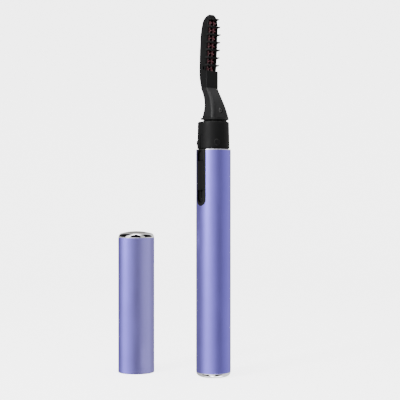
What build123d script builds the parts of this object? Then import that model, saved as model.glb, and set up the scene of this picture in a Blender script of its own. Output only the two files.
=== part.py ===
from build123d import *
from math import atan, cos, degrees
import os

# Pen type heated eyelash curler with its cap standing beside it, in millimetres.
# +Z runs up the pen, +X is the side the comb points to, -Y is the side of the switch.
# The origin is the middle of the flat disc the pen stands on.

# How far cuts reach past the outside of the pen, and the zone the switch sits in
OUTSIDE = 9.0
SLOT_DEPTH_Y = -5.0
SWITCH_ZONE = (70.0, 104.0)

# Barrel, the metal sleeve
BARREL_R = 7.6
BARREL_BORE = 7.0
TUBE_EDGE = 0.15
BARREL_FOOT = 2.0
BARREL_TOP = 99.3
SLOT_WIDTH = 5.5
SLOT_BOTTOM = 74.6
PLUG_FLAT_R = 4.9
PLUG_LIP = 0.15
PLUG_SPIGOT = 4.5
PLUG_WALL = 0.9
PLUG_FLOOR = 0.6
PLUG_STEP = 0.1
CAP_FLAT_R = 6.2
CAP_CROWN = 0.8
PLUG_FIT = 0.04

# Cap, standing on its open end
CAP_X = -32.1
CAP_Y = -17.5
CAP_R = 8.1
CAP_BORE = 7.6
CAP_LENGTH = 60.4
LINER_R = 7.55
LINER_BORE = 7.25
LINER_BOTTOM = 0.6
LINER_LENGTH = 14.0
LINER_LEAD_IN = 0.12

# Chassis, the plastic insert inside the barrel
CHASSIS_R = 6.92
CHASSIS_TAIL = 8.0
BAY_R = 5.7
SNAP_Y = -1.8
BULKHEAD = 64.5
BULKHEAD_TOP = 66.0
CHASSIS_SHOULDER = 98.6
CHASSIS_NECK_R = 6.0
CHASSIS_NECK_BORE = 4.9
CHASSIS_NECK_TOP = 107.0
LEDGE = 1.2
BRACKET_X = 3.6
BRACKET_HEIGHTS = (74.0, 91.0)
BRACKET_HEIGHT = 1.6
BOSS_R = 1.5
BOSS_PILOT_R = 0.75
RIB_X = 3.4
RIB_Y = 3.6
RIB_HEIGHTS = (24.0, 40.0, 56.0)
RIB_GAP = 4.0
WALL_GAP = 0.05

# AAA cell and its contacts
CELL_R = 5.2
CELL_BOTTOM = 19.0
CELL_SHOULDER = 62.7
CELL_TOP = 63.5
CELL_NUB_R = 1.9
CELL_BORE = 5.4
STRIP = 0.25
STRIP_WIDTH = 3.0
STRIP_Y = 5.75
LEG_HALF = 1.0
SPRING_WIRE_R = 0.3
SPRING_R = 3.2
SPRING_TURNS = 4
CONTACT_BASE = 12.0

# Circuit board and slide switch
BOARD_WIDTH = 9.8
BOARD_BACK = -0.4
BOARD_FRONT = -1.4
BOARD_BOTTOM = 68.0
BOARD_TOP = 95.0
SWITCH_Z = 89.3
SWITCH_HALF = 4.3
SWITCH_WIDTH = 4.0
SWITCH_FACE = -4.4
SWITCH_SKIN = 0.3
PIN_PITCH = 2.5
PIN_R = 0.3
KNOB_HALF_X = 0.7
KNOB_HALF_Z = 1.0
SCREW_Z = 71.5

# Switch bezel and thumb slider
BEZEL_WIDTH = 5.0
BEZEL_BOTTOM = 74.85
BEZEL_R = 7.88
BEZEL_INNER = 6.0
BEZEL_CHAMFER = 0.35
BEZEL_PLUG_INSET = 0.6
BEZEL_PLUG_RISE = 3.15
BEZEL_PLUG_DROP = 1.65
TRACK_WIDTH = 4.0
TRACK_R = 7.08
TRACK_BOTTOM = 76.0
TRACK_TOP = 98.8
SLIDER_WIDTH = 3.9
SLIDER_BOTTOM = 81.5
SLIDER_TOP = 94.1
SLIDER_R = 8.0
SLIDER_TRAVEL = 3.0
SLIDER_ROUND = 0.3
STEM_HALF_X = 1.2
STEM_HALF_Z = 2.0
BARB_HALF = 1.45
GROOVE_HALF = 0.35
SLIDER_MIDDLE = (SLIDER_BOTTOM + SLIDER_TOP) / 2

# Collar between barrel and head
COLLAR_BOTTOM = 99.38
COLLAR_TOP = 111.4
COLLAR_BASE_R = 7.12
COLLAR_TOP_R = 6.84
COLLAR_GROOVE = 0.35
COLLAR_GROOVE_R = 6.6
COLLAR_ROUND = 0.6
COLLAR_FLOOR = 108.0
SOCKET_FLOOR = 108.9
NUB_ANGLES = (-30, 90, 210)
NUB_Z = 102.2
NUB_R = 1.4
NUB_PROUD = 0.26
NUB_DEPTH = 0.7
NUB_CHAMFER = 0.24
ARCH_WIDTH = 2.3
ARCH_TOP = 105.8
ARCH_DEPTH = 0.25
TONGUE_HALF = 1.5

# Head: flange, swept-back neck, flat block, comb
FLANGE_BOTTOM = 112.2
FLANGE_TOP = 113.05
FLANGE_R = 6.7
FLANGE_HALF = 5.25
FLANGE_BACK = -2.5
SPIGOT_INSET = 0.8
NECK_TOP = 126.4
BLOCK_BOTTOM = 126.46
BLOCK_TOP = 133.8
BLOCK_FRONT = -0.59
WINDOW_TOP = 156.1
WINDOW_HALF = 2.45
ROOM_FRONT = -1.4
HEAD_SCREW_Z = 116.2
HEAD_SCREW_SEAT = 3.75
HEAD_SCREW_R = 0.7
SPINE_BOTTOM = 129.5
SPINE_X = -4.5
SPINE_KNEE = 137.0
SPINE_TIP_X = -2.6
HOOK_X = -2.7
HOOK_Z = 135.1
PEG_HEIGHTS = (132.0, 151.0)
PEG_R = 0.5
SPINE_END = 160.0

# Comb fins
FIN_COUNT = 7
FIN_FIRST = 136.4
FIN_PITCH = 3.34
FIN_REACH = (0.43, 0.62, 1.05, 1.18, 1.44, 1.31, 1.09)
FIN_REAR = -2.8
FIN_EDGE_HALF = 0.5
FIN_REAR_HALF = 0.28
FIN_TIP_HALF = 0.24
FIN_TIP_SIDE = 0.16
FIN_BAR = 0.24

# Heater: two wound rods side by side, leaning forward with the comb
COIL_Y = 1.17
COIL_ROOM = 0.28
COIL_R = 0.7
COIL_WIRE_R = 0.3
COIL_PITCH = FIN_PITCH / 2
COIL_TURNS = 12.25
COIL_START = 134.8
HEATER_LEAN = 0.085
HEATER_X = -2.5
HEATER_Z = 138.6
ROD_R = 0.37
ROD_FOOT = 130.0
ROD_TIP = 155.6
CRIMP_BOTTOM = 125.2
CRIMP_TOP = 127.8
WIRE_R = 0.45

# Neck stations: height, back, front, half width, radius of the back edges and of the front edges
NECK_STATIONS = (
    (113.0, -2.3, 5.3, 5.1, 1.1, 1.7),
    (114.4, -2.0, 5.0, 4.95, 1.0, 1.8),
    (116.2, -1.75, 4.65, 4.55, 0.9, 1.8),
    (118.0, -1.7, 4.1, 4.25, 0.85, 1.8),
    (120.2, -2.2, 3.25, 3.82, 0.85, 1.7),
    (122.4, -3.0, 2.15, 3.5, 0.85, 1.5),
    (124.4, -3.85, 0.85, 3.4, 0.8, 1.2),
    (NECK_TOP, -4.75, -0.5, 3.45, 0.6, 0.6),
)

# Stations of the passage through the neck: height, back, front, half width, edge radius
PASSAGE_STATIONS = (
    (108.9, -0.9, 4.3, 3.0, 0.6),
    (113.0, -0.9, 3.9, 3.0, 0.6),
    (118.0, -0.6, 2.9, 2.8, 0.7),
    (122.4, -2.0, 1.0, 2.3, 0.6),
    (NECK_TOP + 0.1, -3.4, -1.4, 2.1, 0.4),
)

# Block and comb stations: height, back, front, half width, radius of the back edges
COMB_STATIONS = (
    (BLOCK_BOTTOM, -4.85, BLOCK_FRONT, 3.43, 1.1),
    (128.4, -5.5, BLOCK_FRONT, 3.43, 1.3),
    (131.0, -6.0, BLOCK_FRONT, 3.43, 1.3),
    (135.0, -6.2, BLOCK_FRONT, 3.38, 1.3),
    (141.0, -6.1, -0.55, 3.32, 1.3),
    (147.0, -5.8, -0.45, 3.24, 1.3),
    (151.5, -5.4, -0.35, 3.12, 1.3),
    (154.7, -4.75, -0.3, 2.92, 1.2),
    (156.7, -3.95, -0.4, 2.5, 1.0),
    (157.9, -2.95, -0.65, 1.95, 0.8),
    (158.55, -2.1, -0.95, 1.25, 0.4),
)
COMB_FRONT_R = 0.25

# Front edge of the comb's side walls, as (x, z)
WALL_EDGE = ((-1.95, BLOCK_TOP), (-1.35, 140.0), (-0.95, 146.0), (-0.5, 152.0), (-0.35, WINDOW_TOP))


def slab(x0, x1, y0, y1, z0, z1):
    """A block between two corners."""
    middle = Pos((x0 + x1) / 2, (y0 + y1) / 2, (z0 + z1) / 2)
    return middle * Box(abs(x1 - x0), abs(y1 - y0), abs(z1 - z0))


def post(radius, z0, z1, x=0.0, y=0.0):
    """An upright cylinder."""
    return Pos(x, y, (z0 + z1) / 2) * Cylinder(radius, z1 - z0)


def pipe(outer, inner, z0, z1):
    """An upright tube."""
    return post(outer, z0, z1) - post(inner, z0 - 1, z1 + 1)


def rod_y(radius, y0, y1, x, z):
    """A cylinder lying along Y."""
    return Pos(x, (y0 + y1) / 2, z) * Rot(90, 0, 0) * Cylinder(radius, abs(y1 - y0))


def rod_x(radius, x0, x1, y, z):
    """A cylinder lying along X."""
    return Pos((x0 + x1) / 2, y, z) * Rot(0, 90, 0) * Cylinder(radius, abs(x1 - x0))


def slot_prism(width, z0, z1, round_top=False):
    """An upright slot on the switch side with a round bottom, and a round top if asked."""
    half = width / 2
    top = z1 - half if round_top else z1
    body = slab(-half, half, -OUTSIDE, SLOT_DEPTH_Y, z0 + half, top)
    body += rod_y(half, -OUTSIDE, SLOT_DEPTH_Y, 0, z0 + half)
    if round_top:
        body += rod_y(half, -OUTSIDE, SLOT_DEPTH_Y, 0, top)
    return body


def upright_edges(solid, radius):
    """The round edges of an upright tube that are wider than a radius."""
    return solid.edges().filter_by(GeomType.CIRCLE).filter_by(lambda edge: edge.radius > radius)


def side_prism(points, half_depth):
    """A flat outline in the XZ plane, thickened to both sides."""
    return extrude(make_face(Plane.XZ * Polyline(*points, close=True)), half_depth, both=True)


def station_value(stations, z, column):
    """A value read off a list of stations at one height."""
    for low, high in zip(stations, stations[1:]):
        if low[0] <= z <= high[0]:
            share = (z - low[0]) / (high[0] - low[0])
            return low[column] + share * (high[column] - low[column])
    return stations[-1][column]


def wall_edge(z):
    """Where the comb's side walls end in front, at one height."""
    for (x0, z0), (x1, z1) in zip(WALL_EDGE, WALL_EDGE[1:]):
        if z0 <= z <= z1:
            return x0 + (x1 - x0) * (z - z0) / (z1 - z0)
    return WALL_EDGE[-1][0]


def heater_x(z):
    """The middle of the leaning heater rods at one height."""
    return HEATER_X + HEATER_LEAN * (z - HEATER_Z)


def rounded_station(z, back, front, half, back_r, front_r):
    """One level cross-section of the head."""
    outline = Rectangle(front - back, 2 * half)
    outline = fillet(outline.vertices().sort_by(Axis.X)[:2], back_r)
    outline = fillet(outline.vertices().sort_by(Axis.X)[-2:], front_r)
    return Pos((back + front) / 2, 0, z) * outline


def end_dome(radius, flat_r, spigot_r, crown=0.0):
    """A rounded chrome end button with a hollow spigot, built end down, its end flat or crowned."""
    height = BARREL_FOOT
    spigot_z = height + PLUG_SPIGOT
    lip = height - PLUG_LIP
    arc = EllipticalCenterArc((flat_r, lip), radius - flat_r, lip, start_angle=270, arc_size=90)
    inner = spigot_r - PLUG_WALL
    floor = height - PLUG_FLOOR
    rest = Polyline(
        (radius, lip),
        (radius, height),
        (spigot_r, height),
        (spigot_r, spigot_z),
        (inner, spigot_z),
        (inner, floor),
        (0, floor),
        (0, -crown),
    )
    if crown:
        end = ThreePointArc((0, -crown), (flat_r / 2, -0.75 * crown), (flat_r, 0))
    else:
        end = Line((0, 0), (flat_r, 0))
    return revolve(Plane.XZ * make_face(arc + rest + end), Axis.Z)


# ---- barrel ----

def make_barrel_tube():
    tube = pipe(BARREL_R, BARREL_BORE, BARREL_FOOT, BARREL_TOP)
    tube = fillet(upright_edges(tube, BARREL_BORE + 0.1), TUBE_EDGE)
    return tube - slot_prism(SLOT_WIDTH, SLOT_BOTTOM, BARREL_TOP + 2)


def make_barrel_end_plug():
    return end_dome(BARREL_R - PLUG_STEP, PLUG_FLAT_R, BARREL_BORE - PLUG_FIT)


# ---- cap ----

def make_cap_tube():
    tube = pipe(CAP_R, CAP_BORE, 0, CAP_LENGTH)
    return Pos(CAP_X, CAP_Y, 0) * fillet(upright_edges(tube, CAP_BORE + 0.1), TUBE_EDGE)


def make_cap_liner():
    liner = pipe(LINER_R, LINER_BORE, LINER_BOTTOM, LINER_BOTTOM + LINER_LENGTH)
    edge = liner.edges().filter_by(GeomType.CIRCLE).sort_by(Axis.Z)[:2].sort_by(SortBy.RADIUS)[:1]
    return Pos(CAP_X, CAP_Y, 0) * chamfer(edge, LINER_LEAD_IN)


def make_cap_end_plug():
    button = end_dome(CAP_R - PLUG_STEP, CAP_FLAT_R, CAP_BORE - PLUG_FIT, CAP_CROWN)
    return Pos(CAP_X, CAP_Y, CAP_LENGTH + BARREL_FOOT) * Rot(180, 0, 0) * button


# ---- chassis ----

def chassis_shell():
    """The closed upper part of the chassis: shell, ledge and narrow neck, before it is split."""
    ledge_bottom = CHASSIS_SHOULDER - LEDGE
    shell = pipe(CHASSIS_R, BAY_R, BULKHEAD, CHASSIS_SHOULDER)
    neck = pipe(CHASSIS_NECK_R, CHASSIS_NECK_BORE, ledge_bottom, CHASSIS_NECK_TOP)
    return shell + neck + pipe(CHASSIS_R, CHASSIS_NECK_BORE, ledge_bottom, CHASSIS_SHOULDER)


def make_chassis_frame():
    wide = OUTSIDE
    bay_cut = slab(-wide, wide, -wide, SNAP_Y, CHASSIS_TAIL - 1, BULKHEAD)
    body = pipe(CHASSIS_R, CELL_BORE, CHASSIS_TAIL, BULKHEAD) - bay_cut
    body += post(CHASSIS_R, CHASSIS_TAIL, CONTACT_BASE)
    body += chassis_shell() - slab(-wide, wide, -wide, 0, BULKHEAD - 0.5, CHASSIS_NECK_TOP + 1)
    body += post(BAY_R - 2 * WALL_GAP, BULKHEAD - 0.4, BULKHEAD_TOP)
    for x in (-BRACKET_X, BRACKET_X):
        for z in BRACKET_HEIGHTS:
            body += slab(x - 0.6, x + 0.6, BOARD_BACK, 5.0, z, z + BRACKET_HEIGHT)
    body += rod_y(BOSS_R, BOARD_BACK, 6.2, 0, SCREW_Z)
    body -= rod_y(BOSS_PILOT_R, BOARD_BACK - 1, 4.5, 0, SCREW_Z)
    strip_half = STRIP_WIDTH / 2 + WALL_GAP
    body -= slab(-strip_half, strip_half, 5.0, STRIP_Y + 0.07, CONTACT_BASE, BOARD_BOTTOM + 1)
    leg_half = LEG_HALF + WALL_GAP
    leg_back = BOARD_FRONT - STRIP - WALL_GAP
    body -= slab(-leg_half, leg_half, leg_back, BOARD_FRONT + 0.6, BULKHEAD - 1, BULKHEAD_TOP + 1)
    for z in RIB_HEIGHTS:
        window = slab(-wide, wide, RIB_Y, wide, z, z + RIB_GAP)
        body -= window - slab(-RIB_X, RIB_X, 0, wide, z - 1, z + RIB_GAP + 1)
    return body


def make_chassis_cover():
    wide = OUTSIDE
    front = chassis_shell() - slab(-wide, wide, -WALL_GAP, wide, BULKHEAD - 1, CHASSIS_NECK_TOP + 1)
    front += rod_y(BOSS_R + 0.1, -6.4, BOARD_FRONT - WALL_GAP, 0, SCREW_Z)
    front -= rod_y(1.0, -wide, 0, 0, SCREW_Z)
    front -= rod_y(BOSS_R, -wide, -5.9, 0, SCREW_Z)
    half = BEZEL_WIDTH / 2 - BEZEL_PLUG_INSET + WALL_GAP
    low = BEZEL_BOTTOM + BEZEL_PLUG_RISE - WALL_GAP
    high = CHASSIS_SHOULDER - BEZEL_PLUG_DROP + WALL_GAP
    return front - slab(-half, half, -wide, -4.5, low, high)


def make_chassis_screw():
    head = rod_y(1.4, -6.5, -5.9, 0, SCREW_Z)
    shank = rod_y(0.72, -5.9, 4.0, 0, SCREW_Z)
    cross = slab(-0.9, 0.9, -7, -6.2, SCREW_Z - 0.15, SCREW_Z + 0.15)
    cross += slab(-0.15, 0.15, -7, -6.2, SCREW_Z - 0.9, SCREW_Z + 0.9)
    return head + shank - cross


def make_collar():
    height = COLLAR_TOP - COLLAR_BOTTOM
    body = Pos(0, 0, COLLAR_BOTTOM + height / 2) * Cone(COLLAR_BASE_R, COLLAR_TOP_R, height)
    body = fillet(body.edges().filter_by(GeomType.CIRCLE).sort_by(Axis.Z)[-1:], COLLAR_ROUND)
    body -= post(CHASSIS_NECK_R + WALL_GAP, COLLAR_BOTTOM - 1, COLLAR_FLOOR)
    body -= pipe(COLLAR_BASE_R + 1, COLLAR_GROOVE_R, COLLAR_BOTTOM, COLLAR_BOTTOM + COLLAR_GROOVE)
    nub = Cylinder(NUB_R, NUB_DEPTH)
    nub = chamfer(nub.edges().filter_by(GeomType.CIRCLE).sort_by(Axis.Z)[-1:], NUB_CHAMFER)
    nub_x = COLLAR_BASE_R + NUB_PROUD - NUB_DEPTH / 2
    for angle in NUB_ANGLES:
        body += Rot(0, 0, angle) * Pos(nub_x, 0, NUB_Z) * Rot(0, 90, 0) * nub
    body -= Pos(0, 0, SOCKET_FLOOR) * extrude(flange_outline(SPIGOT_INSET - WALL_GAP), 4)
    body -= slab(-1.1, 0.85, -2.6, 2.6, COLLAR_FLOOR - 1, SOCKET_FLOOR + 1)
    arch = slot_prism(ARCH_WIDTH, COLLAR_BOTTOM - 4, ARCH_TOP, round_top=True)
    body -= arch - post(COLLAR_BASE_R - ARCH_DEPTH, COLLAR_BOTTOM - 8, COLLAR_TOP)
    tongue = slab(1.0, 2.7, -TONGUE_HALF, TONGUE_HALF, COLLAR_FLOOR, HEAD_SCREW_Z + TONGUE_HALF)
    tongue -= rod_x(HEAD_SCREW_R + 0.02, 0, 4, 0, HEAD_SCREW_Z)
    return body + tongue


# ---- switch ----

def make_switch_bezel():
    outer = slot_prism(BEZEL_WIDTH, BEZEL_BOTTOM, BARREL_TOP)
    face = outer & (post(BEZEL_R, *SWITCH_ZONE) - post(CHASSIS_R + 0.02, *SWITCH_ZONE))
    top_edges = face.edges().filter_by(lambda edge: edge.center().Z > BARREL_TOP - 0.01)
    body = chamfer(top_edges.sort_by(Axis.Y)[:1], BEZEL_CHAMFER)
    half = BEZEL_WIDTH / 2 - BEZEL_PLUG_INSET
    low = BEZEL_BOTTOM + BEZEL_PLUG_RISE
    high = CHASSIS_SHOULDER - BEZEL_PLUG_DROP
    plug = slab(-half, half, -OUTSIDE, -4, low, high)
    body += plug & pipe(CHASSIS_R + 0.1, BEZEL_INNER, *SWITCH_ZONE)
    track = slot_prism(TRACK_WIDTH, TRACK_BOTTOM, TRACK_TOP, round_top=True)
    body -= track - post(TRACK_R, *SWITCH_ZONE)
    stem_half = STEM_HALF_X + WALL_GAP
    stem_low = SLIDER_MIDDLE - STEM_HALF_Z - 0.1
    stem_high = SLIDER_MIDDLE + STEM_HALF_Z + SLIDER_TRAVEL + 0.1
    body -= slab(-stem_half, stem_half, -OUTSIDE, -4, stem_low, stem_high)
    groove = slab(-GROOVE_HALF, GROOVE_HALF, -OUTSIDE, -4, TRACK_BOTTOM + 1.6, SLIDER_BOTTOM + 4)
    return body - (groove - post(TRACK_R - 0.2, *SWITCH_ZONE))


def make_thumb_slider():
    half = SLIDER_WIDTH / 2
    crown = slab(-half, half, -OUTSIDE, SLOT_DEPTH_Y, SLIDER_BOTTOM, SLIDER_TOP)
    crown &= pipe(SLIDER_R, TRACK_R + 0.04, *SWITCH_ZONE)
    ends = crown.edges().filter_by(lambda edge: edge.center().Y < -SLIDER_R + 0.3)
    crown = fillet(ends.filter_by(GeomType.CIRCLE), SLIDER_ROUND)
    low, high = SLIDER_MIDDLE - STEM_HALF_Z, SLIDER_MIDDLE + STEM_HALF_Z
    stem = slab(-STEM_HALF_X, STEM_HALF_X, -7.3, -5.1, low, high)
    barb = slab(-BARB_HALF, BARB_HALF, -5.8, -5.4, SLIDER_MIDDLE - 1.0, SLIDER_MIDDLE + 1.0)
    socket_x, socket_z = KNOB_HALF_X + WALL_GAP, KNOB_HALF_Z + WALL_GAP
    socket = slab(-socket_x, socket_x, -6.35, -5.0, SLIDER_MIDDLE - socket_z, SLIDER_MIDDLE + socket_z)
    return crown + stem + barb - socket


def make_switch_can():
    half = SWITCH_WIDTH / 2
    inner = half - SWITCH_SKIN
    body = slab(-half, half, SWITCH_FACE, BOARD_FRONT - 0.02, SWITCH_Z - SWITCH_HALF, SWITCH_Z + SWITCH_HALF)
    body = fillet(body.edges().filter_by(lambda e: e.center().Y < SWITCH_FACE + 0.01), 0.25)
    room = SWITCH_HALF - SWITCH_SKIN
    body -= slab(-inner, inner, SWITCH_FACE + SWITCH_SKIN, 0, SWITCH_Z - room, SWITCH_Z + room)
    run = KNOB_HALF_Z + SLIDER_TRAVEL / 2 + 0.15
    return body - slab(-0.8, 0.8, -6, -3, SWITCH_Z - run, SWITCH_Z + run)


def make_switch_base():
    half = SWITCH_WIDTH / 2 - SWITCH_SKIN - WALL_GAP
    room = SWITCH_HALF - SWITCH_SKIN - WALL_GAP
    base = slab(-half, half, BOARD_FRONT - 0.6, BOARD_FRONT, SWITCH_Z - room, SWITCH_Z + room)
    for step in (-1, 0, 1):
        base -= rod_y(PIN_R + 0.01, -3, 0, 0, SWITCH_Z + step * PIN_PITCH)
    return base


def make_switch_pins():
    pins = []
    for step in (-1, 0, 1):
        z = SWITCH_Z + step * PIN_PITCH
        head = rod_y(0.5, BOARD_FRONT - 0.78, BOARD_FRONT - 0.6, 0, z)
        pins.append(head + rod_y(PIN_R, BOARD_FRONT - 0.7, BOARD_BACK + 0.7, 0, z))
    return Compound(children=pins)


def make_switch_knob():
    rest = SWITCH_Z - SLIDER_TRAVEL / 2
    stem = slab(-KNOB_HALF_X, KNOB_HALF_X, -6.3, -4.0, rest - KNOB_HALF_Z, rest + KNOB_HALF_Z)
    return stem + slab(-1.5, 1.5, SWITCH_FACE + SWITCH_SKIN + WALL_GAP, -3.3, rest - 1.8, rest + 1.8)


def make_switch_wiper():
    rest = SWITCH_Z - SLIDER_TRAVEL / 2
    body = slab(-0.6, 0.6, -3.3, -3.1, rest - 1.7, rest + 1.7)
    for step in (-1, 1):
        body += rod_x(0.42, -0.6, 0.6, -2.7, rest + step * 1.25)
    return body


# ---- board, cell and contacts ----

def make_circuit_board():
    half = BOARD_WIDTH / 2
    board = slab(-half, half, BOARD_BACK, BOARD_FRONT, BOARD_BOTTOM, BOARD_TOP)
    for step in (-1, 0, 1):
        board -= rod_y(PIN_R + 0.02, -3, 1, 0, SWITCH_Z + step * PIN_PITCH)
    return board - rod_y(1.0, -3, 1, 0, SCREW_Z)


def make_chip_resistors():
    chips = []
    for x in (-3.3, 3.3):
        chips.append(slab(x - 0.6, x + 0.6, BOARD_FRONT - 0.55, BOARD_FRONT, 77.0, 79.0))
    return Compound(children=chips)


def make_battery_cell():
    can = post(CELL_R - 0.06, CELL_BOTTOM, CELL_SHOULDER)
    can = fillet(can.edges().filter_by(GeomType.CIRCLE), 0.5)
    nub = post(CELL_NUB_R, CELL_SHOULDER - 1, CELL_TOP)
    return can + fillet(nub.edges().filter_by(GeomType.CIRCLE).sort_by(Axis.Z)[-1:], 0.2)


def make_battery_jacket():
    return pipe(CELL_R, CELL_R - 0.05, CELL_BOTTOM + 1.0, CELL_SHOULDER - 1.0)


def make_positive_contact():
    plate = slab(-2.6, 2.6, -3.4, 2.6, CELL_TOP, CELL_TOP + STRIP)
    front = BOARD_FRONT - STRIP
    leg = slab(-LEG_HALF, LEG_HALF, front, BOARD_FRONT, CELL_TOP, BOARD_BOTTOM + 1.8)
    return plate + leg


def make_negative_strip():
    plate = post(4.4, CONTACT_BASE, CONTACT_BASE + STRIP)
    half = STRIP_WIDTH / 2
    top_z = BOARD_BOTTOM + 0.9
    foot = slab(-half, half, 0, STRIP_Y, CONTACT_BASE, CONTACT_BASE + STRIP)
    riser = slab(-half, half, STRIP_Y - STRIP, STRIP_Y, CONTACT_BASE, top_z)
    top = slab(-half, half, BOARD_BACK, STRIP_Y, top_z - STRIP, top_z)
    return plate + foot + riser + top


def make_negative_spring():
    foot = CONTACT_BASE + STRIP + SPRING_WIRE_R
    height = CELL_BOTTOM - SPRING_WIRE_R - foot
    path = Helix(height / SPRING_TURNS, height, SPRING_R, center=(0, 0, foot), cone_angle=-9)
    coil = sweep(Plane(path @ 0, z_dir=path % 0) * Circle(SPRING_WIRE_R), path, is_frenet=True)
    return coil


def bent_wire(points):
    """A round insulated wire through a few points."""
    path = Spline(*points, tangents=((0, 0, 1), (0, 0, 1)))
    return sweep(Plane(path @ 0, z_dir=path % 0) * Circle(WIRE_R), path)


def lead_wire_points(side):
    """The run of one wire from the board up to its crimp."""
    foot_x = heater_x(COIL_START) + COIL_R
    return (
        (side * 3.4, BOARD_FRONT - WIRE_R - 0.15, BOARD_TOP - 2.5),
        (side * 2.7, side * 0.5 - 0.9, 99.0),
        (side * 0.6 - 0.1, side * 1.75, 104.5),
        (-0.1, side * 1.75, 109.5),
        (0.05, side * 1.75, 114.5),
        (-0.15, side * 1.6, 119.0),
        (-1.2, side * 1.32, 122.5),
        (foot_x, side * COIL_Y, CRIMP_BOTTOM + 1.2),
    )


def make_wire_red():
    return bent_wire(lead_wire_points(1))


def make_wire_black():
    return bent_wire(lead_wire_points(-1))


# ---- head ----

def flange_outline(inset):
    """The flange seen from above, or a copy of it drawn in by some amount."""
    reach = FLANGE_R - inset
    back = FLANGE_BACK + inset
    half = FLANGE_HALF - inset
    window = Pos((back + reach) / 2, 0) * Rectangle(reach - back, 2 * half)
    return Circle(reach) & window


def make_head_neck():
    flange = Pos(0, 0, FLANGE_BOTTOM) * extrude(flange_outline(0), FLANGE_TOP - FLANGE_BOTTOM)
    spigot = Pos(0, 0, SOCKET_FLOOR + 0.1) * extrude(flange_outline(SPIGOT_INSET), 4)
    stations = [rounded_station(*station) for station in NECK_STATIONS]
    body = loft(stations) + flange + spigot
    body -= loft([rounded_station(*station, station[-1]) for station in PASSAGE_STATIONS])
    body -= slab(-3.55, -1.05, -2.35, 2.35, NECK_TOP - 1.5, NECK_TOP + 1)
    body -= rod_x(0.9, 1, 8, 0, HEAD_SCREW_Z)
    return body - rod_x(1.2, HEAD_SCREW_SEAT, 8, 0, HEAD_SCREW_Z)


def make_head_screw():
    seat = HEAD_SCREW_SEAT
    head = rod_x(1.05, seat, seat + 0.7, 0, HEAD_SCREW_Z)
    head = fillet(head.edges().sort_by(Axis.X)[-1:], 0.25)
    shank = rod_x(HEAD_SCREW_R, seat - 2.6, seat + 0.1, 0, HEAD_SCREW_Z)
    cross = slab(seat + 0.25, seat + 1, -0.65, 0.65, HEAD_SCREW_Z - 0.13, HEAD_SCREW_Z + 0.13)
    cross += slab(seat + 0.25, seat + 1, -0.13, 0.13, HEAD_SCREW_Z - 0.65, HEAD_SCREW_Z + 0.65)
    return head + shank - cross


def comb_envelope():
    """Block and comb as one lump, before they are hollowed and parted."""
    stations = [rounded_station(*station, COMB_FRONT_R) for station in COMB_STATIONS]
    lump = loft(stations)
    curve = Spline(*[(x, z) for x, z in WALL_EDGE])
    x1, z1 = WALL_EDGE[-1]
    x0, z0 = WALL_EDGE[0]
    rest = Polyline((x1, z1), (3, z1), (3, z0), (x0, z0))
    return lump - extrude(Plane.XZ * make_face(curve + rest), 8, both=True)


def spine_region():
    """Everything behind the parting surface between guard and spine."""
    behind = [(SPINE_TIP_X, SPINE_END), (-OUTSIDE, SPINE_END), (-OUTSIDE, SPINE_BOTTOM)]
    outline = [(SPINE_X, SPINE_BOTTOM), (SPINE_X, SPINE_KNEE)] + behind
    return side_prism(outline, 8)


def peg_x(z):
    """The parting surface at one height, where the locating pegs stand."""
    share = max(0.0, (z - SPINE_KNEE) / (SPINE_END - SPINE_KNEE))
    return SPINE_X + share * (SPINE_TIP_X - SPINE_X)


def leaning_rod(radius, z0, z1, y):
    """A cylinder along one of the leaning heater rods."""
    middle = (z0 + z1) / 2
    length = (z1 - z0) / cos(atan(HEATER_LEAN))
    lean = Rot(0, degrees(atan(HEATER_LEAN)), 0)
    return Pos(heater_x(middle), y, middle) * lean * Cylinder(radius, length)


def make_fin(index):
    """One cross fin of the comb with a point on each side."""
    z = FIN_FIRST + index * FIN_PITCH
    half = station_value(COMB_STATIONS, z, 3)
    edge = wall_edge(z)
    tip = FIN_REACH[index]
    valley = heater_x(z) + COIL_R + COIL_WIRE_R + COIL_ROOM + FIN_BAR
    point_y = min(2.9, half - 0.25)
    side = [
        (FIN_REAR, half + 0.1),
        (edge - 0.1, half + 0.1),
        (tip, point_y + FIN_TIP_SIDE),
        (tip, point_y - FIN_TIP_SIDE),
        (valley + 0.5, point_y - 0.75),
        (valley, point_y - 1.9),
    ]
    other = [(x, -y) for x, y in reversed(side)]
    plan = Pos(0, 0, z) * extrude(make_face(Polyline(*side, *other, close=True)), 1, both=True)
    upper = [(FIN_REAR, z + FIN_REAR_HALF), (edge, z + FIN_EDGE_HALF), (tip, z + FIN_TIP_HALF)]
    lower = [(x, 2 * z - height) for x, height in reversed(upper)]
    return plan & side_prism(upper + lower, 6)


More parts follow.
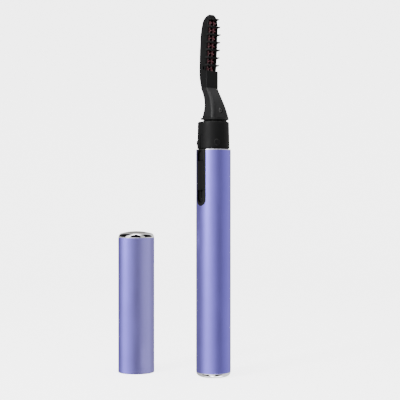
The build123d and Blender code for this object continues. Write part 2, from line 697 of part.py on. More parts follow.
def make_comb_guard():
    body = comb_envelope() - spine_region()
    half_room = COIL_R + COIL_WIRE_R + COIL_ROOM
    rear = heater_x(BLOCK_TOP) - half_room
    lean = HEATER_LEAN * (WINDOW_TOP - BLOCK_TOP)
    back = [(rear, BLOCK_TOP - 1), (rear + lean, WINDOW_TOP)]
    before = [(4, WINDOW_TOP), (4, BLOCK_TOP), (ROOM_FRONT, BLOCK_TOP), (ROOM_FRONT, BLOCK_TOP - 0.8)]
    window = side_prism(back + before, WINDOW_HALF)
    room = slab(rear, ROOM_FRONT, -WINDOW_HALF, WINDOW_HALF, BLOCK_BOTTOM + 0.7, BLOCK_TOP)
    body -= window + room
    floor_top = BLOCK_BOTTOM + 0.7
    body += slab(-3.5, -1.1, -2.3, 2.3, NECK_TOP - 1.4, floor_top)
    body -= slab(-3.1, -1.5, -1.9, 1.9, NECK_TOP - 2, floor_top + 0.1)
    for index in range(FIN_COUNT):
        body += make_fin(index)
    middle = [(rear + lean + half_room, WINDOW_TOP), (rear + half_room, BLOCK_TOP - 1)]
    body -= side_prism(back + middle, WINDOW_HALF)
    for side in (-1, 1):
        clear_r = COIL_R + COIL_WIRE_R + COIL_ROOM - 0.02
        body -= leaning_rod(clear_r, BLOCK_TOP - 3, WINDOW_TOP - 0.2, side * COIL_Y)
        wall = side * WINDOW_HALF
        outside = side * 5
        body -= slab(HOOK_X - 0.5, HOOK_X + 0.5, wall, outside, HOOK_Z - 0.7, HOOK_Z + 0.7)
        recess = side * (WINDOW_HALF + 0.36)
        body -= slab(SPINE_X - 1, HOOK_X + 0.6, wall - side * 0.1, recess, HOOK_Z - 0.85, HOOK_Z + 0.85)
    for z in PEG_HEIGHTS:
        body -= rod_x(PEG_R + WALL_GAP, -6, peg_x(z) + 0.35, 0, z)
    return body


def make_head_spine():
    region = Pos(-0.03, 0, 0.03) * spine_region()
    body = comb_envelope() & region
    for side in (-1, 1):
        inner = side * (WINDOW_HALF + 0.02)
        outer = side * (WINDOW_HALF + 0.32)
        body += slab(SPINE_X - 0.6, HOOK_X + 0.45, inner, outer, HOOK_Z - 0.75, HOOK_Z + 0.75)
        tip = side * (WINDOW_HALF + 0.5)
        body += slab(HOOK_X - 0.35, HOOK_X + 0.4, outer, tip, HOOK_Z - 0.5, HOOK_Z + 0.5)
    for z in PEG_HEIGHTS:
        body += rod_x(PEG_R, peg_x(z) - 0.8, peg_x(z) + 0.25, 0, z)
    return body


def make_heater_holder():
    body = slab(-3.7, -1.5, -2.35, 2.35, 128.3, 133.4)
    foot_x = heater_x(COIL_START) + COIL_R
    for side in (-1, 1):
        body -= leaning_rod(ROD_R + 0.02, ROD_FOOT, 136, side * COIL_Y)
        body -= post(COIL_WIRE_R + 0.03, 127, 135, foot_x, side * COIL_Y)
    return body


def make_heater_rods():
    rods = [leaning_rod(ROD_R, ROD_FOOT + 0.1, ROD_TIP, side * COIL_Y) for side in (-1, 1)]
    return Compound(children=rods)


def wound_coil():
    """One winding, turning right-handed up its own axis."""
    path = Helix(COIL_PITCH, COIL_PITCH * COIL_TURNS, COIL_R)
    coil = sweep(Plane(path @ 0, z_dir=path % 0) * Circle(COIL_WIRE_R), path, is_frenet=True)
    return Pos(heater_x(COIL_START), -COIL_Y, COIL_START) * Rot(0, degrees(atan(HEATER_LEAN)), 0) * coil


def make_heater_coil_left():
    return wound_coil()


def make_heater_coil_right():
    return mirror(wound_coil(), Plane.XZ)


def make_heater_bridge():
    rise = COIL_PITCH * COIL_TURNS * cos(atan(HEATER_LEAN))
    z = COIL_START + rise
    reach = COIL_Y - COIL_R
    x = heater_x(z) - 0.14
    path = ThreePointArc((x, -reach, z), (x - reach, 0, z), (x, reach, z))
    return sweep(Plane(path @ 0, z_dir=path % 0) * Circle(COIL_WIRE_R - 0.02), path)


def make_heater_leads():
    foot_x = heater_x(COIL_START) + COIL_R
    leads = []
    for side in (-1, 1):
        leads.append(post(COIL_WIRE_R - 0.05, CRIMP_TOP - 1.2, COIL_START - 0.33, foot_x, side * COIL_Y))
    return Compound(children=leads)


def make_crimp_sleeves():
    foot_x = heater_x(COIL_START) + COIL_R
    sleeves = []
    for side in (-1, 1):
        tube = post(0.58, CRIMP_BOTTOM, CRIMP_TOP, foot_x, side * COIL_Y)
        sleeves.append(tube - post(0.5, CRIMP_BOTTOM - 1, CRIMP_TOP + 1, foot_x, side * COIL_Y))
    return Compound(children=sleeves)


PIECES = {
    "barrel_tube": make_barrel_tube,
    "barrel_end_plug": make_barrel_end_plug,
    "cap_tube": make_cap_tube,
    "cap_liner": make_cap_liner,
    "cap_end_plug": make_cap_end_plug,
    "chassis_frame": make_chassis_frame,
    "chassis_cover": make_chassis_cover,
    "chassis_screw": make_chassis_screw,
    "collar": make_collar,
    "switch_bezel": make_switch_bezel,
    "thumb_slider": make_thumb_slider,
    "switch_can": make_switch_can,
    "switch_base": make_switch_base,
    "switch_pins": make_switch_pins,
    "switch_knob": make_switch_knob,
    "switch_wiper": make_switch_wiper,
    "circuit_board": make_circuit_board,
    "chip_resistors": make_chip_resistors,
    "battery_cell": make_battery_cell,
    "battery_jacket": make_battery_jacket,
    "positive_contact": make_positive_contact,
    "negative_strip": make_negative_strip,
    "negative_spring": make_negative_spring,
    "wire_red": make_wire_red,
    "wire_black": make_wire_black,
    "head_neck": make_head_neck,
    "head_screw": make_head_screw,
    "comb_guard": make_comb_guard,
    "head_spine": make_head_spine,
    "heater_holder": make_heater_holder,
    "heater_rods": make_heater_rods,
    "heater_coil_left": make_heater_coil_left,
    "heater_coil_right": make_heater_coil_right,
    "heater_bridge": make_heater_bridge,
    "heater_leads": make_heater_leads,
    "crimp_sleeves": make_crimp_sleeves,
}

os.makedirs("parts", exist_ok=True)
for name, make in PIECES.items():
    export_step(make(), "parts/" + name + ".step")
    print(name, flush=True)
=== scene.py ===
import math

import bmesh
import bpy
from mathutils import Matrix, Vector


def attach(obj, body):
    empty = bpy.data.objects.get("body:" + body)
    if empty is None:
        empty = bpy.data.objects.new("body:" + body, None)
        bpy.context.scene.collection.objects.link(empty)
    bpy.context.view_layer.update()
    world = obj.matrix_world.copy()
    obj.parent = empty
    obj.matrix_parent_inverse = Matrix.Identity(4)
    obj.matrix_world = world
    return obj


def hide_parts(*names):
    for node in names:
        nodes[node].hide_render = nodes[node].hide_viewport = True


MM = 0.001
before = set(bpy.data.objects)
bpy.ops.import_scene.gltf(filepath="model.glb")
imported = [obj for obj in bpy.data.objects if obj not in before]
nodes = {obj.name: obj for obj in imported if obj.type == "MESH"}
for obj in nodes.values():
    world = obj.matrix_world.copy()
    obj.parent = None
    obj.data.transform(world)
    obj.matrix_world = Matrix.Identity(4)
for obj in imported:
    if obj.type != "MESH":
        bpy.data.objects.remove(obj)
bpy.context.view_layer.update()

# The camera's direction, seen from above: where it stands, and what is on its right
AZIMUTH = math.radians(47.7)
TOWARDS = Vector((math.sin(AZIMUTH), -math.cos(AZIMUTH), 0))
RIGHT = Vector((math.cos(AZIMUTH), math.sin(AZIMUTH), 0))

# The camera: its lens, and its place to the right of the pen, nearer and up, in millimetres
LENS = 93.8
SENSOR = 36.0
CAMERA_PLACE = (-5.88, 457.0, 77.2)

# Heights on the object in millimetres
BARREL_RIM = (98.92, 99.4)
JACKET_SPLIT = (51.8, 52.0)
CHIP_MIDDLE = 78.0
CHIP_ENDS = (0.62, 0.66)


# ---------------------------------------------------------------- node helpers

def math_node(tree, operation, *inputs):
    """One math node on numbers or outputs, given back as its output."""
    made = tree.nodes.new("ShaderNodeMath")
    made.operation = operation
    for i, value in enumerate(inputs):
        if isinstance(value, (int, float)):
            made.inputs[i].default_value = value
        else:
            tree.links.new(value, made.inputs[i])
    return made.outputs[0]


def studio_angles(tree, direction):
    """How far round to the camera's right a direction points, and how far up, in radians."""
    shares = []
    for axis in (RIGHT, TOWARDS, Vector((0, 0, 1))):
        made = tree.nodes.new("ShaderNodeVectorMath")
        made.operation = "DOT_PRODUCT"
        tree.links.new(direction, made.inputs[0])
        made.inputs[1].default_value = axis
        shares.append(made.outputs["Value"])
    right, towards, up = shares
    return math_node(tree, "ARCTAN2", right, towards), math_node(tree, "ARCSINE", up)


# ---------------------------------------------------------------- materials

# Anodised skin: how much of it scatters like paint, and the colours of its haze, worn edge and rim
HAZE_SHARE = 0.065
HAZE_COLOUR = (0.45, 0.42, 0.5, 1)
WORN_EDGE = (0.62, 0.61, 0.82, 1.0)
TURNED_RIM = (0.8, 0.78, 0.95, 1.0)


class Graph:
    """A small helper for building one node material."""

    def __init__(self, name):
        self.mat = bpy.data.materials.new(name)
        self.mat.use_nodes = True
        self.tree = self.mat.node_tree
        self.tree.nodes.clear()
        self.out = self.node("ShaderNodeOutputMaterial")
        self.bsdf = self.node("ShaderNodeBsdfPrincipled")
        self.link(self.bsdf, "BSDF", self.out, "Surface")
        self.coords = self.node("ShaderNodeTexCoord")

    def node(self, kind, **values):
        made = self.tree.nodes.new(kind)
        for key, value in values.items():
            setattr(made, key, value)
        return made

    def link(self, source, output, target, socket):
        self.tree.links.new(source.outputs[output], target.inputs[socket])

    def set(self, **values):
        for key, value in values.items():
            self.bsdf.inputs[key.replace("_", " ")].default_value = value

    def mapped(self, scale):
        """Object coordinates stretched by a scale per axis."""
        mapping = self.node("ShaderNodeMapping")
        mapping.inputs["Scale"].default_value = scale
        self.link(self.coords, "Object", mapping, "Vector")
        return mapping

    def noise(self, scale, detail=3.0, rough=0.55, stretch=(1, 1, 1), distortion=0.0):
        made = self.node("ShaderNodeTexNoise")
        made.inputs["Scale"].default_value = scale
        made.inputs["Detail"].default_value = detail
        made.inputs["Roughness"].default_value = rough
        made.inputs["Distortion"].default_value = distortion
        mapping = self.mapped(stretch)
        self.link(mapping, "Vector", made, "Vector")
        return made

    def voronoi(self, scale):
        made = self.node("ShaderNodeTexVoronoi")
        made.inputs["Scale"].default_value = scale
        self.link(self.coords, "Object", made, "Vector")
        return made

    def spread(self, source, low, high, output=0, from_low=0.3, from_high=0.7):
        """A texture value mapped onto a range."""
        made = self.node("ShaderNodeMapRange")
        made.inputs["From Min"].default_value = from_low
        made.inputs["From Max"].default_value = from_high
        made.inputs["To Min"].default_value = low
        made.inputs["To Max"].default_value = high
        self.tree.links.new(source.outputs[output], made.inputs["Value"])
        return made

    def mix(self, factor, first, second):
        """Two colours, or an output and a colour, blended by a factor output or number."""
        made = self.node("ShaderNodeMix", data_type="RGBA")
        for socket, value in ((0, factor), (6, first), (7, second)):
            if hasattr(value, "outputs"):
                index = 2 if value.bl_idname == "ShaderNodeMix" else 0
                self.tree.links.new(value.outputs[index], made.inputs[socket])
            else:
                made.inputs[socket].default_value = value
        return made

    def edges(self, radius, low=0.02, high=0.25):
        """A mask that is 1 on sharp edges, from how far a rounded normal leans away."""
        bevel = self.node("ShaderNodeBevel", samples=6)
        bevel.inputs["Radius"].default_value = radius
        geometry = self.node("ShaderNodeNewGeometry")
        dot = self.node("ShaderNodeVectorMath", operation="DOT_PRODUCT")
        self.link(bevel, "Normal", dot, 0)
        self.link(geometry, "Normal", dot, 1)
        lean = self.node("ShaderNodeMath", operation="SUBTRACT")
        lean.inputs[0].default_value = 1.0
        self.tree.links.new(dot.outputs["Value"], lean.inputs[1])
        return self.spread(lean, 0.0, 1.0, from_low=low, from_high=high)

    def painted_shade_mask(self, reach, low=0.35, high=0.9):
        """A mask that is 0 deep in joints and corners and 1 out in the open, used to paint shade there."""
        hollow = self.node("ShaderNodeAmbientOcclusion", samples=8)
        hollow.inputs["Distance"].default_value = reach
        return self.spread(hollow, 0.0, 1.0, output=1, from_low=low, from_high=high)

    def height_band(self, low, high, soft=0.00004):
        """A mask that is 1 between two heights in metres."""
        parts = self.node("ShaderNodeSeparateXYZ")
        self.link(self.coords, "Object", parts, "Vector")
        above = self.spread(parts, 0.0, 1.0, output=2, from_low=low - soft, from_high=low + soft)
        below = self.spread(parts, 1.0, 0.0, output=2, from_low=high - soft, from_high=high + soft)
        both = self.node("ShaderNodeMath", operation="MULTIPLY")
        self.tree.links.new(above.outputs[0], both.inputs[0])
        self.tree.links.new(below.outputs[0], both.inputs[1])
        return both

    def bump(self, source, strength, distance, output=0, previous=None):
        made = self.node("ShaderNodeBump")
        made.inputs["Strength"].default_value = strength
        made.inputs["Distance"].default_value = distance
        self.tree.links.new(source.outputs[output], made.inputs["Height"])
        if previous is not None:
            self.link(previous, "Normal", made, "Normal")
        self.link(made, "Normal", self.bsdf, "Normal")
        return made

    def colour(self, mix):
        self.tree.links.new(mix.outputs[2], self.bsdf.inputs["Base Color"])

    def value(self, source, socket, output=0):
        self.tree.links.new(source.outputs[output], self.bsdf.inputs[socket])


def rgba(red, green, blue):
    return (red, green, blue, 1.0)


def shade(colour, factor):
    return (colour[0] * factor, colour[1] * factor, colour[2] * factor, 1.0)


def anodised(name, colour, rim=None, turn=0.0, pale=None):
    """Satin anodised aluminium tube: fine bead-blasted grain, faint draw lines, a bright turned rim.

    The sheen can be turned about the tube by a few degrees, and the side facing the camera's right painted
    paler, a painted sheen.
    """
    g = Graph(name)
    g.set(Metallic=1.0)
    cloud = g.noise(90.0, 4.0)
    tint = g.mix(g.spread(cloud, 0.0, 1.0), shade(colour, 0.96), shade(colour, 1.04))
    # painted sheen: faces turned to the camera's right take the paler colour
    if pale:
        facing = g.node("ShaderNodeVectorMath", operation="DOT_PRODUCT")
        g.link(g.node("ShaderNodeNewGeometry"), "Normal", facing, 0)
        facing.inputs[1].default_value = RIGHT
        tint = g.mix(g.spread(facing, 0.0, 1.0, output=1, from_low=-0.4, from_high=0.5), tint, pale)
    # painted shade: the colour darkens in hollows and joints
    tint = g.mix(g.painted_shade_mask(0.0008), shade(colour, 0.3), tint)
    tint = g.mix(g.edges(0.00012, 0.05, 0.4), tint, WORN_EDGE)
    if rim:
        tint = g.mix(g.height_band(*(height * MM for height in rim)), tint, TURNED_RIM)
    g.colour(tint)
    smudge = g.noise(140.0, 5.0, 0.6, (1, 1, 0.5))
    g.value(g.spread(smudge, 0.36, 0.44), "Roughness")
    lines = g.noise(2600.0, 2.0, 0.5, (1, 1, 0.015))
    grain = g.noise(16000.0, 1.0)
    turned = g.node("ShaderNodeVectorRotate", rotation_type="Z_AXIS")
    g.link(g.node("ShaderNodeNewGeometry"), "Normal", turned, "Vector")
    turned.inputs["Angle"].default_value = math.radians(turn)
    first = g.bump(lines, 0.10, 0.00001)
    g.link(turned, "Vector", first, "Normal")
    g.bump(grain, 0.16, 0.00001, previous=first)
    haze = g.node("ShaderNodeBsdfDiffuse")
    haze.inputs["Color"].default_value = HAZE_COLOUR
    blend = g.node("ShaderNodeMixShader")
    blend.inputs[0].default_value = HAZE_SHARE
    g.tree.links.new(g.bsdf.outputs[0], blend.inputs[1])
    g.tree.links.new(haze.outputs[0], blend.inputs[2])
    g.link(blend, "Shader", g.out, "Surface")
    return g.mat


def moulded(name, colour, roughness=0.42, grain=9000.0, strength=0.25, edge=1.9, specular=0.3, front=1.0):
    """Moulded plastic: spark-eroded texture, uneven sheen, lighter edges (partly rubbed wear, partly painted
    highlight) and painted shade in joints.

    Faces that look along +X can be darkened, a painted shade.
    """
    g = Graph(name)
    g.set(IOR=1.5)
    cloud = g.noise(220.0, 4.0)
    tint = g.mix(g.spread(cloud, 0.0, 1.0), shade(colour, 0.9), shade(colour, 1.12))
    # painted shade: faces looking along +X are darkened
    if front != 1.0:
        geometry = g.node("ShaderNodeNewGeometry")
        facing = g.node("ShaderNodeVectorMath", operation="DOT_PRODUCT")
        g.link(geometry, "Normal", facing, 0)
        facing.inputs[1].default_value = (1, 0, 0)
        painted_front_shade = g.spread(facing, 0.0, 1.0, output=1, from_low=0.9, from_high=0.99)
        tint = g.mix(painted_front_shade, tint, shade(colour, front))
    # lighter edges: partly rubbed wear, partly painted highlight
    tint = g.mix(g.edges(0.00015, 0.05, 0.5), tint, shade(colour, edge))
    # painted shade: colour and sheen darken in joints and corners
    free_of_painted_shade = g.painted_shade_mask(0.0009)
    g.colour(g.mix(free_of_painted_shade, shade(colour, 0.15), tint))
    sheen = g.noise(420.0, 5.0, 0.6)
    g.value(g.spread(sheen, roughness - 0.05, roughness + 0.06), "Roughness")
    g.value(g.spread(free_of_painted_shade, 0.02, specular, from_low=0.0, from_high=1.0), "Specular IOR Level")
    pits = g.voronoi(grain)
    waves = g.noise(700.0, 2.0)
    first = g.bump(waves, 0.08, 0.00004)
    g.bump(pits, strength, 0.00001, previous=first)
    return g.mat


def plated(name, colour, roughness=0.08, scratches=0.12, metallic=1.0):
    """Bright plated or plain metal: hairline scratches and a faint haze."""
    g = Graph(name)
    g.set(Metallic=metallic)
    haze = g.noise(300.0, 5.0)
    g.colour(g.mix(g.spread(haze, 0.0, 1.0), shade(colour, 0.93), rgba(*colour[:3])))
    g.value(g.spread(haze, roughness * 0.7, roughness * 1.5), "Roughness")
    lines = g.noise(2500.0, 3.0, 0.6, (1, 0.06, 1), 0.4)
    g.bump(lines, scratches, 0.000008)
    return g.mat


def insulation(name, colour):
    """Soft PVC wire cover: slightly uneven skin with a broad sheen."""
    g = Graph(name)
    g.set(IOR=1.5, Specular_IOR_Level=0.45)
    cloud = g.noise(500.0, 3.0)
    g.colour(g.mix(g.spread(cloud, 0.0, 1.0), shade(colour, 0.82), shade(colour, 1.15)))
    g.value(g.spread(g.noise(900.0, 4.0), 0.36, 0.5), "Roughness")
    first = g.bump(g.noise(1800.0, 2.0), 0.15, 0.00003)
    g.bump(g.noise(12000.0, 1.0), 0.1, 0.00001, previous=first)
    return g.mat


def laminate(name):
    """Green circuit board: solder mask over a fine glass weave, with faint copper runs under it."""
    g = Graph(name)
    g.set(Coat_Weight=0.5, Coat_Roughness=0.15)
    mask = g.mix(g.spread(g.noise(300.0, 3.0), 0.0, 1.0), rgba(0.008, 0.09, 0.03), rgba(0.012, 0.12, 0.045))
    runs = g.node("ShaderNodeTexBrick")
    runs.inputs["Scale"].default_value = 420.0
    runs.inputs["Mortar Size"].default_value = 0.03
    runs.inputs["Color1"].default_value = (0, 0, 0, 1)
    runs.inputs["Color2"].default_value = (0, 0, 0, 1)
    runs.inputs["Mortar"].default_value = (1, 1, 1, 1)
    g.link(g.mapped((1, 1, 0.45)), "Vector", runs, "Vector")
    tracks = g.mix(runs, mask, rgba(0.03, 0.2, 0.07))
    g.colour(g.mix(g.edges(0.0001, 0.05, 0.5), tracks, rgba(0.35, 0.34, 0.2)))
    weave = g.node("ShaderNodeTexChecker")
    weave.inputs["Scale"].default_value = 5000.0
    g.link(g.coords, "Object", weave, "Vector")
    first = g.bump(weave, 0.08, 0.00001, output=1)
    g.bump(runs, 0.5, 0.00003, output=1, previous=first)
    g.value(g.spread(g.noise(600.0, 3.0), 0.3, 0.42), "Roughness")
    return g.mat


def banded(name, low, high, lower, upper, roughness, metallic):
    """Two colours split at a height, as on a plain shrink sleeve, with haze and hairline wrinkles."""
    g = Graph(name)
    g.set(Metallic=metallic)
    parts = g.node("ShaderNodeSeparateXYZ")
    g.link(g.coords, "Object", parts, "Vector")
    step = g.spread(parts, 0.0, 1.0, output=2, from_low=low * MM, from_high=high * MM)
    cloud = g.spread(g.noise(260.0, 3.0), 0.0, 1.0)
    first = g.mix(cloud, shade(lower, 0.9), shade(lower, 1.1))
    second = g.mix(cloud, shade(upper, 0.9), shade(upper, 1.1))
    g.colour(g.mix(step, first, second))
    g.value(g.spread(g.noise(500.0, 4.0), roughness - 0.05, roughness + 0.08), "Roughness")
    g.bump(g.noise(1500.0, 2.0, 0.5, (1, 1, 0.1)), 0.15, 0.00002)
    return g.mat


def chip_ceramic(name):
    """Small chip resistors: black glazed middle and tinned ends."""
    g = Graph(name)
    parts = g.node("ShaderNodeSeparateXYZ")
    g.link(g.coords, "Object", parts, "Vector")
    from_middle = g.node("ShaderNodeMath", operation="SUBTRACT")
    g.link(parts, "Z", from_middle, 0)
    from_middle.inputs[1].default_value = CHIP_MIDDLE * MM
    spread = g.node("ShaderNodeMath", operation="ABSOLUTE")
    g.link(from_middle, "Value", spread, 0)
    ends = g.spread(spread, 0.0, 1.0, from_low=CHIP_ENDS[0] * MM, from_high=CHIP_ENDS[1] * MM)
    cloud = g.spread(g.noise(1500.0, 3.0), 0.0, 1.0)
    body = g.mix(cloud, rgba(0.01, 0.01, 0.012), rgba(0.02, 0.02, 0.024))
    g.colour(g.mix(ends, body, rgba(0.6, 0.6, 0.58)))
    g.value(ends, "Metallic")
    g.value(g.spread(g.noise(2500.0, 3.0), 0.2, 0.4), "Roughness")
    g.bump(g.noise(3000.0, 2.0), 0.2, 0.00002)
    return g.mat


# Black cards painted into the chrome as reflections: middle and half width around, middle and half height, in
# degrees
PAINTED_CARDS = ((-5, 38, 48, 44), (-112, 40, 42, 36), (96, 34, 42, 38), (-60, 26, -48, 30), (37, 24, -48, 30))
CARD_SOFTNESS = 5.0
# strength of the painted softbox highlight, an emission on the chrome
PAINTED_SOFTBOX_GLOW = 0.4


def polished(name, colour, dark, behind):
    """Bright chrome: black cards and a warm backdrop painted in as reflections, a painted white softbox glow,
    hairline wear.
    """
    g = Graph(name)
    g.set(Metallic=1.0)
    tree = g.tree
    around, height = studio_angles(tree, g.coords.outputs["Reflection"])

    def outside(angle, middle, half):
        offset = math_node(tree, "ABSOLUTE", math_node(tree, "SUBTRACT", angle, math.radians(middle)))
        made = g.node("ShaderNodeMapRange", interpolation_type="SMOOTHSTEP")
        made.inputs["From Min"].default_value = math.radians(half - CARD_SOFTNESS)
        made.inputs["From Max"].default_value = math.radians(half + CARD_SOFTNESS)
        tree.links.new(offset, made.inputs["Value"])
        return made.outputs[0]

    clear = None
    for card in PAINTED_CARDS:
        off_card = math_node(tree, "MAXIMUM", outside(around, *card[:2]), outside(height, *card[2:]))
        clear = off_card if clear is None else math_node(tree, "MULTIPLY", clear, off_card)
    haze = g.noise(300.0, 5.0)
    metal = g.mix(g.spread(haze, 0.0, 1.0), shade(colour, 0.95), colour)
    facing = g.node("ShaderNodeSeparateXYZ")
    g.link(g.node("ShaderNodeNewGeometry"), "Normal", facing, "Vector")
    crown_painted_backdrop = g.spread(facing, 0.0, 1.0, output=2, from_low=0.9, from_high=0.96)
    metal = g.mix(crown_painted_backdrop, metal, behind)
    # painted reflection: black card colour wherever the reflection points at a card
    painted_reflection = g.mix(0.5, dark, metal)
    tree.links.new(clear, painted_reflection.inputs[0])
    g.colour(painted_reflection)
    painted_softbox = math_node(tree, "MULTIPLY", clear, math_node(tree, "SUBTRACT", 1.0, crown_painted_backdrop.outputs[0]))
    # painted highlight: the chrome glows white off the cards, though it is no lamp
    g.set(Emission_Color=(1, 1, 1, 1))
    tree.links.new(math_node(tree, "MULTIPLY", painted_softbox, PAINTED_SOFTBOX_GLOW), g.bsdf.inputs["Emission Strength"])
    g.value(g.spread(haze, 0.03, 0.08), "Roughness")
    g.bump(g.noise(2500.0, 3.0, 0.6, (1, 0.06, 1), 0.4), 0.04, 0.000008)
    return g.mat


def enamelled(name, colour, glow):
    """Enamelled resistance wire: dark red varnish, white glints and a faint painted red glow, though the wire
    is no lamp.
    """
    g = Graph(name)
    g.set(Metallic=0.2, Coat_Weight=1.0, Coat_Roughness=0.08, Coat_IOR=1.8)
    cloud = g.noise(900.0, 3.0)
    g.colour(g.mix(g.spread(cloud, 0.0, 1.0), shade(colour, 0.6), shade(colour, 1.4)))
    g.value(g.spread(g.noise(2500.0, 4.0), 0.16, 0.4), "Roughness")
    g.bump(g.noise(4000.0, 2.0), 0.25, 0.00002)
    # painted light: a faint red emission, though the wire is cold
    g.set(Emission_Color=colour, Emission_Strength=glow)
    return g.mat


LAVENDER = rgba(0.246, 0.196, 0.92)
BLACK = rgba(0.0075, 0.0075, 0.0078)

lavender = anodised("anodised_lavender", LAVENDER, BARREL_RIM)
# the cap's paler colour on its right side is a painted sheen
cap_lavender = anodised("anodised_lavender_cap", LAVENDER, turn=16.0, pale=rgba(0.415, 0.36, 1.0))
# the second and third colours are painted reflections of black cards and a warm backdrop
chrome = polished("chrome_button", rgba(0.93, 0.92, 0.91), rgba(0.012, 0.011, 0.014), rgba(0.5, 0.47, 0.42))
black = moulded("black_satin_plastic", shade(BLACK, 0.8), 0.50, specular=0.14)
# edge=5.0 lightens the neck's edges and screw-hole rim, a painted highlight
neck_black = moulded("black_neck_plastic", shade(BLACK, 1.15), 0.42, specular=0.28, edge=5.0)
spine_black = moulded("black_spine_plastic", shade(BLACK, 0.85), 0.44, 8000.0, 0.22, specular=0.2)
# front=0.75 darkens the comb's +X faces, a painted shade
comb_black = moulded("black_comb_plastic", shade(BLACK, 0.75), 0.46, 10000.0, 0.3, specular=0.17, front=0.75)
bezel_black = moulded("black_bezel_plastic", shade(BLACK, 0.9), 0.42, 8000.0, 0.15, specular=0.2)
slider_black = moulded("black_slider_plastic", shade(BLACK, 0.8), 0.40, 7000.0, 0.14, specular=0.14)
chassis_plastic = moulded("chassis_plastic", rgba(0.028, 0.028, 0.031), 0.5, 6000.0, 0.4)
liner = moulded("liner_plastic", rgba(0.09, 0.09, 0.1), 0.45, 6000.0, 0.3)
zinc = plated("zinc_steel", rgba(0.56, 0.57, 0.58), 0.26, 0.25)
black_steel = plated("black_steel", rgba(0.12, 0.118, 0.118), 0.2, 0.3, 0.95)
tinned = plated("tinned_steel", rgba(0.62, 0.62, 0.6), 0.22, 0.2)
phenolic = moulded("phenolic", rgba(0.055, 0.026, 0.012), 0.5, 5000.0, 0.4)
brass = plated("contact_brass", rgba(0.72, 0.5, 0.2), 0.2, 0.2)
knob_plastic = moulded("knob_plastic", rgba(0.012, 0.012, 0.013), 0.35, 8000.0, 0.2)
nickel = plated("nickel_strip", rgba(0.66, 0.62, 0.56), 0.2, 0.3)
cell_can = plated("cell_can", rgba(0.68, 0.67, 0.64), 0.16, 0.25)
jacket = banded("cell_jacket", *JACKET_SPLIT, rgba(0.2, 0.21, 0.22), rgba(0.42, 0.43, 0.44), 0.3, 0.1)
red_wire = insulation("red_insulation", rgba(0.42, 0.012, 0.01))
black_wire = insulation("black_insulation", rgba(0.012, 0.012, 0.013))
heat_resin = moulded("heat_resin", rgba(0.05, 0.028, 0.016), 0.55, 7000.0, 0.4)
# the last number in each of these two lines is a painted glow
winding = enamelled("winding_copper", rgba(0.17, 0.022, 0.04), 0.02)
rod_red = enamelled("rod_ceramic", rgba(0.10, 0.006, 0.016), 0.12)

MATERIALS = {
    "barrel_tube": lavender,
    "cap_tube": cap_lavender,
    "barrel_end_plug": chrome,
    "cap_end_plug": chrome,
    "cap_liner": liner,
    "chassis_frame": chassis_plastic,
    "chassis_cover": chassis_plastic,
    "chassis_screw": zinc,
    "collar": black,
    "switch_bezel": bezel_black,
    "thumb_slider": slider_black,
    "switch_can": tinned,
    "switch_base": phenolic,
    "switch_pins": tinned,
    "switch_knob": knob_plastic,
    "switch_wiper": brass,
    "circuit_board": laminate("board_laminate"),
    "chip_resistors": chip_ceramic("chip_ceramic"),
    "battery_cell": cell_can,
    "battery_jacket": jacket,
    "positive_contact": nickel,
    "negative_strip": nickel,
    "negative_spring": nickel,
    "wire_red": red_wire,
    "wire_black": black_wire,
    "head_neck": neck_black,
    "head_screw": black_steel,
    "comb_guard": comb_black,
    "head_spine": spine_black,
    "heater_holder": heat_resin,
    "heater_rods": rod_red,
    "heater_coil_left": winding,
    "heater_coil_right": winding,
    "heater_bridge": winding,
    "heater_leads": winding,
    "crimp_sleeves": tinned,
}

# Only these pieces show in each other's sheen; the tubes would stain everything lavender
MIRRORED = (
    "collar", "switch_bezel", "thumb_slider", "head_neck", "head_screw", "comb_guard", "head_spine",
    "heater_rods", "heater_holder", "heater_leads", "barrel_end_plug", "cap_end_plug",
)

for node_name, obj in nodes.items():
    obj.visible_glossy = node_name in MIRRORED
    material = MATERIALS[node_name]
    obj.data.materials.clear()
    obj.data.materials.append(material)


# ---------------------------------------------------------------- mesh helpers

def new_object(name, bm, material, body, smooth_angle=35.0):
    """A finished piece from a bmesh, smooth but for its sharp edges, riding on a CAD body."""
    mesh = bpy.data.meshes.new(name)
    bmesh.ops.recalc_face_normals(bm, faces=bm.faces)
    bm.to_mesh(mesh)
    bm.free()
    for face in mesh.polygons:
        face.use_smooth = True
    mesh.set_sharp_from_angle(angle=math.radians(smooth_angle))
    mesh.materials.append(material)
    obj = bpy.data.objects.new(name, mesh)
    bpy.context.collection.objects.link(obj)
    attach(obj, body)
    return obj


def tube_along(bm, points, radius, sides=12, caps=True):
    """A round wire swept through points, with a frame carried along it."""
    points = [Vector(p) * MM for p in points]
    radius *= MM
    rings = []
    normal = None
    for i, point in enumerate(points):
        ahead = points[min(i + 1, len(points) - 1)]
        behind = points[max(i - 1, 0)]
        tangent = (ahead - behind).normalized()
        if normal is None:
            normal = tangent.orthogonal().normalized()
        normal = (normal - tangent * normal.dot(tangent)).normalized()
        side = tangent.cross(normal)
        ring = []
        for k in range(sides):
            angle = 2 * math.pi * k / sides
            ring.append(bm.verts.new(point + radius * (math.cos(angle) * normal + math.sin(angle) * side)))
        rings.append(ring)
    for low, high in zip(rings, rings[1:]):
        for k in range(sides):
            bm.faces.new((low[k], low[(k + 1) % sides], high[(k + 1) % sides], high[k]))
    if caps:
        bm.faces.new(list(reversed(rings[0])))
        bm.faces.new(rings[-1])


# ---------------------------------------------------------------- heater winding

COIL_Y = 1.17
COIL_R = 0.7
WIRE_R = 0.3
COIL_PITCH = 1.67
COIL_TURNS = 12.25
COIL_START = 134.8
HEATER_X = -2.5
HEATER_Z = 138.6
LEAN = 0.085


def heater_x(z):
    return HEATER_X + LEAN * (z - HEATER_Z)


